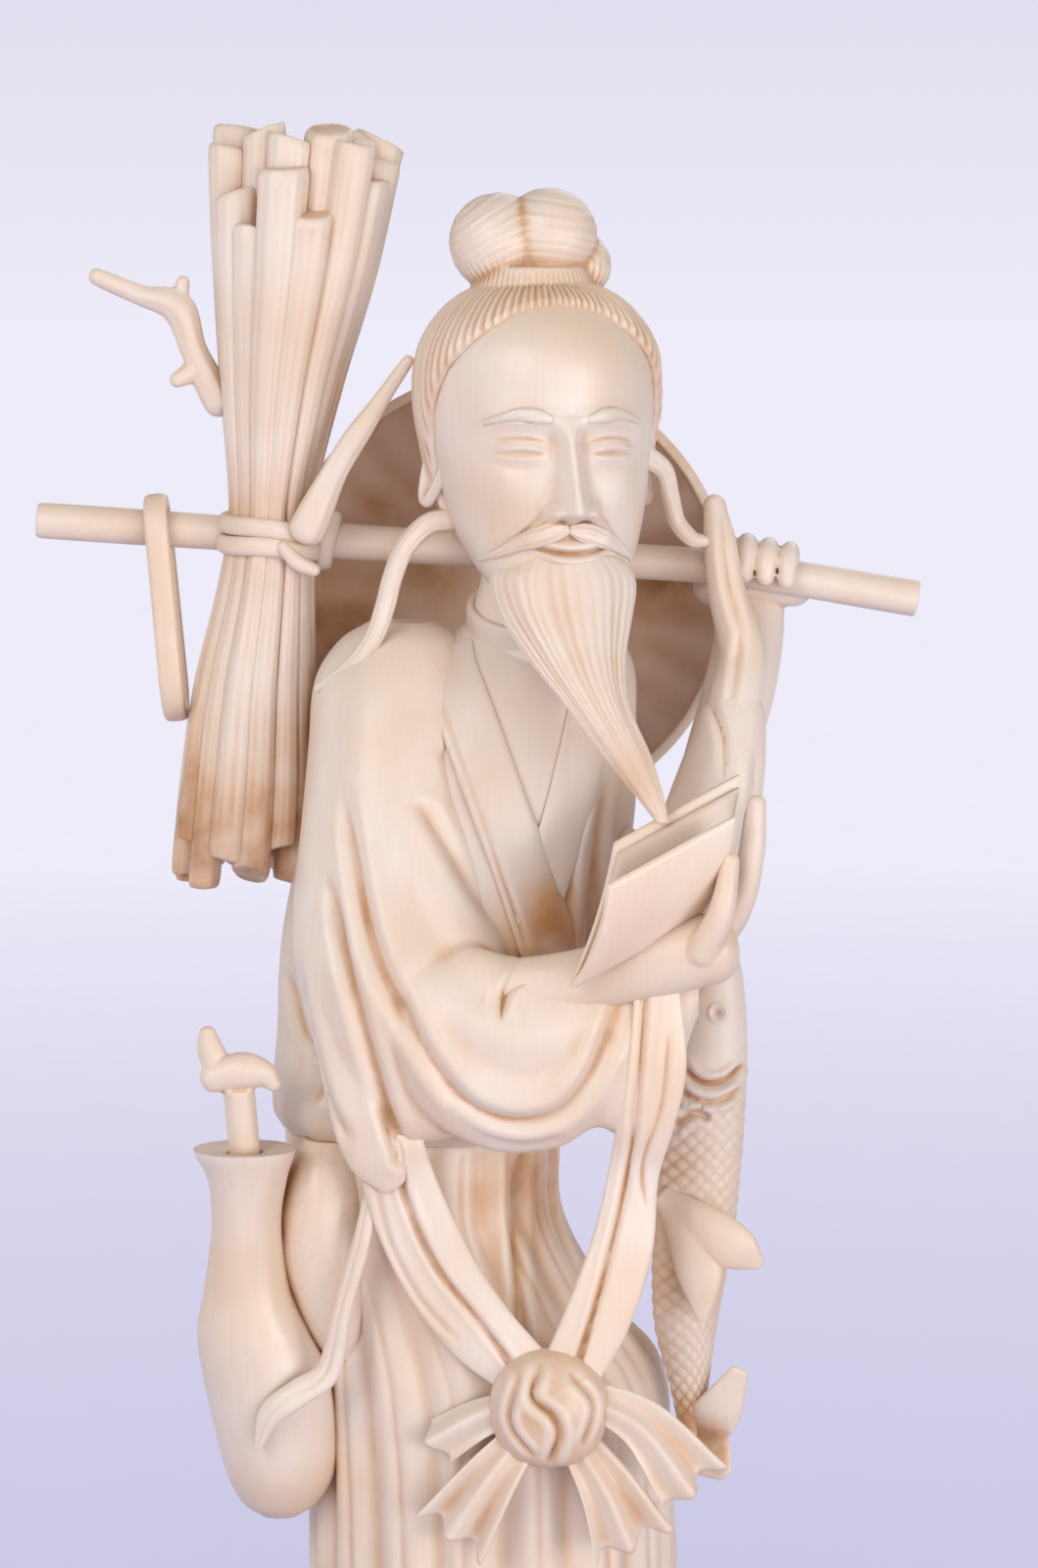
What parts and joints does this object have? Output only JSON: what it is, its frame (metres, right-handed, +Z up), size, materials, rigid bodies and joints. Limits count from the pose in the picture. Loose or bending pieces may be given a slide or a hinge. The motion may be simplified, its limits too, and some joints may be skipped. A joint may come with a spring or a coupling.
{
  "type": "okimono carving",
  "caption": "Ivory-coloured standing okimono of an old woodcutter with a shoulder pole, firewood, hat, open book, flask and fish, pegged together from carved sections on a low base.",
  "frame": {"origin": "middle of the base's flat underside", "axes": "+X to the right as the figure is seen from the front, -Y the figure's front, +Z up"},
  "size_m": [0.1465, 0.082, 0.3194],
  "materials": {
    "ivory": "satin",
    "ivory_stained": "satin"
  },
  "bodies": {
    "figure": {"base": "ivory", "base_pegs": "ivory", "beard": "ivory", "binding_cord": "ivory_stained", "book_far_cover": "ivory", "book_near_cover": "ivory", "book_pages": "ivory", "collar": "ivory", "firewood": "ivory_stained", "fish": "ivory", "fish_fin": "ivory", "fish_tail": "ivory", "flask": "ivory", "flask_strap": "ivory", "hand_left": "ivory", "hand_right": "ivory", "hat": "ivory_stained", "hat_peg": "ivory", "head": "ivory", "lock_left": "ivory", "lock_right": "ivory", "neck_peg": "ivory", "pole_long": "ivory_stained", "pole_peg": "ivory", "pole_short": "ivory_stained", "pouch": "ivory", "robe": "ivory", "robe_flare": "ivory", "sash_band_left": "ivory", "sash_band_right": "ivory", "sash_knot": "ivory", "sash_tail_left_lower": "ivory", "sash_tail_left_upper": "ivory", "sash_tail_right_lower": "ivory", "sash_tail_right_upper": "ivory", "shoe_left": "ivory", "shoe_right": "ivory", "sleeve_left": "ivory", "sleeve_right": "ivory", "topknot": "ivory", "torso": "ivory", "twig_inner": "ivory_stained", "twig_outer": "ivory_stained", "waist_peg": "ivory"},
    "link": {"hanging_link": "ivory"},
    "stopper": {"flask_stopper": "ivory"}
  },
  "joints": [
    {"name": "link_swing", "type": "hinge", "parent": "figure", "child": "link", "pos_m": [-0.0596, 0.008, 0.25265], "axis": [0.9977, 0, -0.068], "range_deg": [-30, 30]},
    {"name": "stopper_lift", "type": "slide", "parent": "figure", "child": "stopper", "axis": [-0.074, -0.1479, 0.9862], "range_m": [0, 0.01]}
  ]
}
